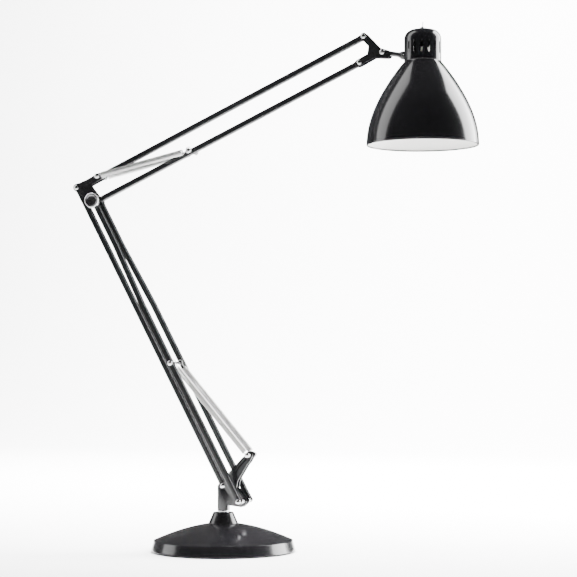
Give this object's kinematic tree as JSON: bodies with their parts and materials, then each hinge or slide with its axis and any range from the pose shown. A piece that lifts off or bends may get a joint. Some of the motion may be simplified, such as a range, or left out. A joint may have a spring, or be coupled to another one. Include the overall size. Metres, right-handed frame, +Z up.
{
  "type": "adjustable arm floor lamp",
  "caption": "Tall spring-balanced arm floor lamp: round weighted base, swivel bracket, two parallelogram arms, coil springs and a bell shade with a vented cap.",
  "frame": {"origin": "centre of the base's underside, on the floor", "axes": "+Z up, arms in the XZ plane with the shade towards +X, knob side towards -Y"},
  "size_m": [1.9868, 0.6794, 2.4345],
  "materials": {
    "gloss_black": "gloss",
    "black_aluminium": "gloss",
    "steel": "polished",
    "spring_steel": "bright",
    "iron": "rough",
    "felt": "matt",
    "black_plastic": "matt",
    "ivory": "satin",
    "opal_glass": "opal",
    "black_iron": "gloss paint"
  },
  "bodies": {
    "base": {"floor_pad": "felt", "base_shell": "black_iron", "ballast_disc": "iron", "ballast_screws": "steel", "base_collar": "gloss_black", "cable_gland": "black_plastic"},
    "bracket": {"swivel_spigot": "steel", "bracket_block": "gloss_black", "bracket_plate_near": "gloss_black", "bracket_plate_far": "gloss_black", "bracket_pins": "steel", "bracket_screws": "steel", "axle_spacers": "steel"},
    "lower_arm": {"front_tube_near": "gloss_black", "front_tube_far": "gloss_black", "front_tube_ends": "gloss_black", "lower_spring_rod": "steel", "lower_rod_screws": "steel"},
    "rear_link": {"rear_tube": "gloss_black", "rear_tube_ends": "gloss_black"},
    "elbow": {"elbow_plate_near": "gloss_black", "elbow_plate_far": "gloss_black", "elbow_pins": "steel", "elbow_screws": "steel", "elbow_nut": "steel"},
    "elbow_knob": {"knob_body": "black_plastic", "knob_ring": "steel"},
    "upper_arm": {"upper_tube": "gloss_black", "upper_tube_ends": "gloss_black", "upper_spring_pin": "steel", "upper_pin_screws": "steel"},
    "top_link": {"top_tube": "gloss_black", "top_tube_ends": "gloss_black"},
    "head_bracket": {"head_plate_near": "gloss_black", "head_plate_far": "gloss_black", "head_pins": "steel", "head_screws": "steel"},
    "stem_arm": {"stem": "gloss_black"},
    "lamp_head": {"shade_stub": "gloss_black", "hub_screw": "steel", "shade": "black_aluminium", "cap": "black_aluminium", "lampholder": "ivory", "bulb": "opal_glass", "toggle_bush": "steel"},
    "toggle": {"toggle_lever": "steel"},
    "lower_springs": {"lower_spring_near": "spring_steel", "lower_spring_far": "spring_steel"},
    "lower_spring_tails": {"lower_spring_hooks": "spring_steel"},
    "upper_springs": {"upper_spring_near": "spring_steel", "upper_spring_far": "spring_steel"},
    "upper_spring_tails": {"upper_spring_hooks": "spring_steel"}
  },
  "joints": [
    {"name": "base_swivel", "type": "hinge", "parent": "base", "child": "bracket", "pos_m": [0, 0, 0.16], "axis": [0, 0, 1], "range_deg": [-170, 170]},
    {"name": "lower_arm_tilt", "type": "hinge", "parent": "bracket", "child": "lower_arm", "pos_m": [0.105, 0, 0.24], "axis": [0, -1, 0], "range_deg": [-30, 15]},
    {"name": "rear_link_pivot", "type": "hinge", "parent": "bracket", "child": "rear_link", "pos_m": [0.003, 0, 0.3085], "axis": [0, -1, 0], "range_deg": [-30, 15]},
    {"name": "elbow_level", "type": "hinge", "parent": "lower_arm", "child": "elbow", "pos_m": [-0.64712, 0, 1.66352], "axis": [0, -1, 0], "range_deg": [-15, 30]},
    {"name": "upper_arm_tilt", "type": "hinge", "parent": "elbow", "child": "upper_arm", "pos_m": [-0.64712, 0, 1.66352], "axis": [0, -1, 0], "range_deg": [-35, 30]},
    {"name": "top_link_pivot", "type": "hinge", "parent": "elbow", "child": "top_link", "pos_m": [-0.62843, 0, 1.78182], "axis": [0, -1, 0], "range_deg": [-35, 30]},
    {"name": "head_level", "type": "hinge", "parent": "upper_arm", "child": "head_bracket", "pos_m": [0.67169, 0, 2.26259], "axis": [0, -1, 0], "range_deg": [-30, 35]},
    {"name": "head_tilt", "type": "hinge", "parent": "head_bracket", "child": "stem_arm", "pos_m": [0.77969, 0, 2.30409], "axis": [0, -1, 0], "range_deg": [-25, 60]},
    {"name": "shade_roll", "type": "hinge", "parent": "stem_arm", "child": "lamp_head", "pos_m": [0.87569, 0, 2.28509], "axis": [0.981, 0, -0.1942], "range_deg": [-60, 60]},
    {"name": "toggle_flip", "type": "hinge", "parent": "lamp_head", "child": "toggle", "pos_m": [0.96469, 0, 2.40659], "axis": [1, 0, 0], "range_deg": [0, 24]},
    {"name": "knob_turn", "type": "hinge", "parent": "elbow", "child": "elbow_knob", "pos_m": [-0.64712, 0, 1.66352], "axis": [0, -1, 0], "range_deg": [0, 270]},
    {"name": "lower_spring_pivot", "type": "hinge", "parent": "bracket", "child": "lower_springs", "pos_m": [0.136, 0, 0.456], "axis": [0, -1, 0], "range_deg": [-22.51, 11.26], "deforming": ["lower_spring_near", "lower_spring_far"]},
    {"name": "lower_spring_stretch", "type": "slide", "parent": "lower_springs", "child": "lower_spring_tails", "axis": [-0.9744, 0, -0.2246], "range_m": [-0.1763, 0.0884], "deforming": ["lower_spring_hooks"]},
    {"name": "upper_spring_pivot", "type": "hinge", "parent": "elbow", "child": "upper_springs", "pos_m": [-0.62843, 0, 1.78182], "axis": [0, -1, 0], "range_deg": [-26.26, 22.51], "deforming": ["upper_spring_near", "upper_spring_far"]},
    {"name": "upper_spring_stretch", "type": "slide", "parent": "upper_springs", "child": "upper_spring_tails", "axis": [-0.7293, 0, 0.6842], "range_m": [-0.1187, 0.1018], "deforming": ["upper_spring_hooks"]}
  ],
  "couplings": [
    {"joint": "rear_link_pivot", "follows": "lower_arm_tilt", "ratio": 1},
    {"joint": "elbow_level", "follows": "lower_arm_tilt", "ratio": -1},
    {"joint": "lower_spring_pivot", "follows": "lower_arm_tilt", "ratio": 0.75},
    {"joint": "lower_spring_stretch", "follows": "lower_arm_tilt", "m_per_rad": 0.33568},
    {"joint": "top_link_pivot", "follows": "upper_arm_tilt", "ratio": 1},
    {"joint": "head_level", "follows": "upper_arm_tilt", "ratio": -1},
    {"joint": "upper_spring_pivot", "follows": "upper_arm_tilt", "ratio": 0.75},
    {"joint": "upper_spring_stretch", "follows": "upper_arm_tilt", "m_per_rad": 0.19346}
  ]
}
